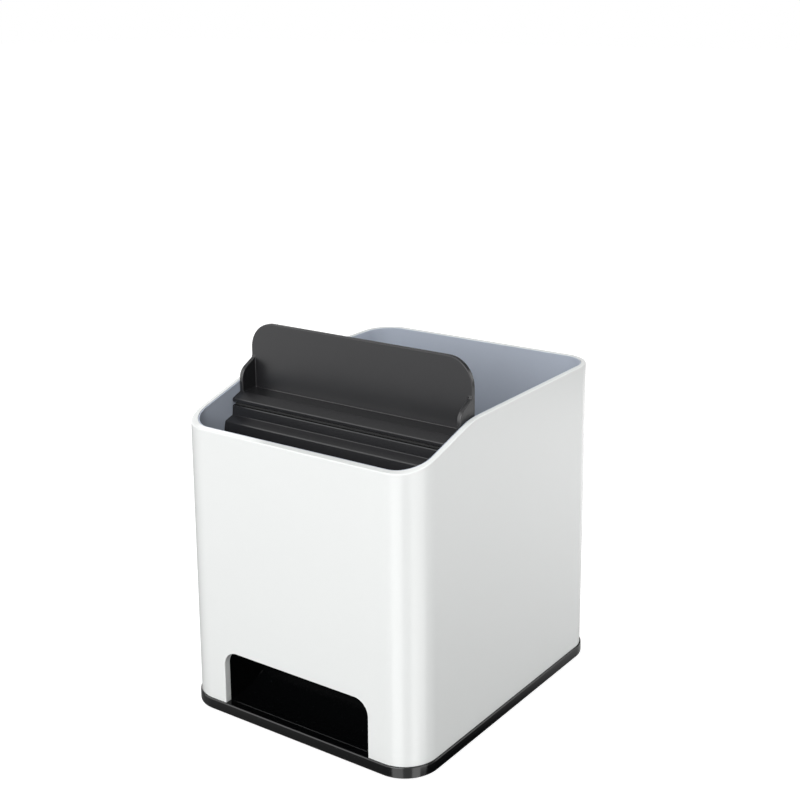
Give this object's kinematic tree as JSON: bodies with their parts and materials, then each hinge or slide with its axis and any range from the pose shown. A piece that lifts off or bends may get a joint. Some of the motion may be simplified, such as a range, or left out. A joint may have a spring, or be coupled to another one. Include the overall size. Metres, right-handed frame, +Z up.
{
  "type": "pen holder",
  "caption": "Desk pen holder box with sloping side rims, a phone cradle and raised backrest in front, a pen bay behind, and a horn that leads the phone's sound out of a low front port.",
  "frame": {"origin": "middle of the footprint, on the surface that the rubber feet stand on", "axes": "+Z up, -Y out of the front face with the sound port, +X to the right seen from the front"},
  "size_m": [0.091, 0.1076, 0.1201],
  "materials": {
    "white_gloss": "white high-gloss ABS",
    "grey_satin": "blue-grey satin ABS",
    "black_gloss": "black high-gloss ABS",
    "black_satin": "black satin ABS",
    "black_rubber": "black moulded rubber",
    "zinc_steel": "zinc-plated steel"
  },
  "bodies": {
    "root": {"outer_shell": "white_gloss", "inner_liner": "grey_satin", "base_plate": "black_gloss", "cradle_housing": "black_satin", "backrest": "black_satin", "joint_seal": "black_rubber", "horn_body": "black_gloss", "slot_pad": "black_rubber", "base_screw_1": "zinc_steel", "base_screw_2": "zinc_steel", "base_screw_3": "zinc_steel", "base_screw_4": "zinc_steel", "foot_1": "black_rubber", "foot_2": "black_rubber", "foot_3": "black_rubber", "foot_4": "black_rubber"}
  },
  "joints": []
}
